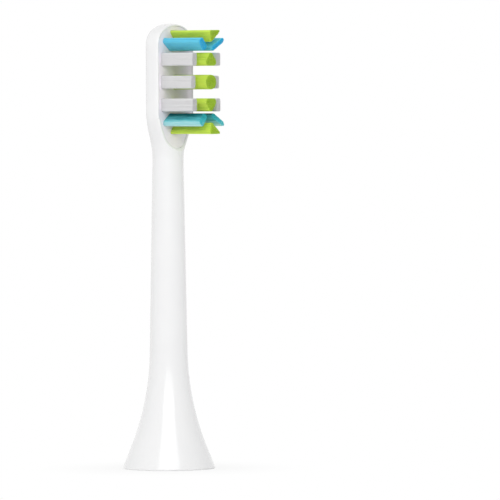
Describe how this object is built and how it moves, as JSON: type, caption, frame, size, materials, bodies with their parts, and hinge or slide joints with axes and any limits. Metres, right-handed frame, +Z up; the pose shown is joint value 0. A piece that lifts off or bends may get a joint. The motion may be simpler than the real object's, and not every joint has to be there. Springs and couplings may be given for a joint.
{
  "type": "electric toothbrush head",
  "caption": "Replacement head for a sonic toothbrush: a white flared neck that pushes onto a drive shaft, and an oblong face with shaped white, green and blue tufts.",
  "frame": {"origin": "middle of the base rim, on the plane it stands on", "axes": "+Z up the neck's axis to the head's top, -Y the way the bristles point, +X to the right when looking at the bristles"},
  "size_m": [0.016, 0.0188, 0.077],
  "materials": {
    "white_shell": "smooth white moulded plastic, soft gloss",
    "grey_plate": "pale grey moulded plastic, satin",
    "socket_plastic": "off-white engineering plastic, satin",
    "spring_steel": "bright spring steel",
    "white_bristle": "translucent white nylon filament",
    "green_bristle": "translucent lime green nylon filament",
    "blue_bristle": "translucent sky blue nylon filament",
    "turquoise_bristle": "translucent turquoise nylon filament"
  },
  "bodies": {
    "root": {"brush_body": "white_shell", "carrier_plate": "grey_plate", "drive_socket": "socket_plastic", "grip_spring": "spring_steel", "white_tuft_1_left": "white_bristle", "white_tuft_1_right": "white_bristle", "white_tuft_2_left": "white_bristle", "white_tuft_2_right": "white_bristle", "white_tuft_3_left": "white_bristle", "white_tuft_3_right": "white_bristle", "green_tuft_1": "green_bristle", "green_tuft_2": "green_bristle", "green_tuft_3": "green_bristle", "toe_green_tuft": "green_bristle", "heel_green_tuft": "green_bristle", "toe_blue_tuft_left": "blue_bristle", "toe_blue_tuft_right": "blue_bristle", "heel_blue_tuft_left": "turquoise_bristle", "heel_blue_tuft_right": "turquoise_bristle"}
  },
  "joints": []
}
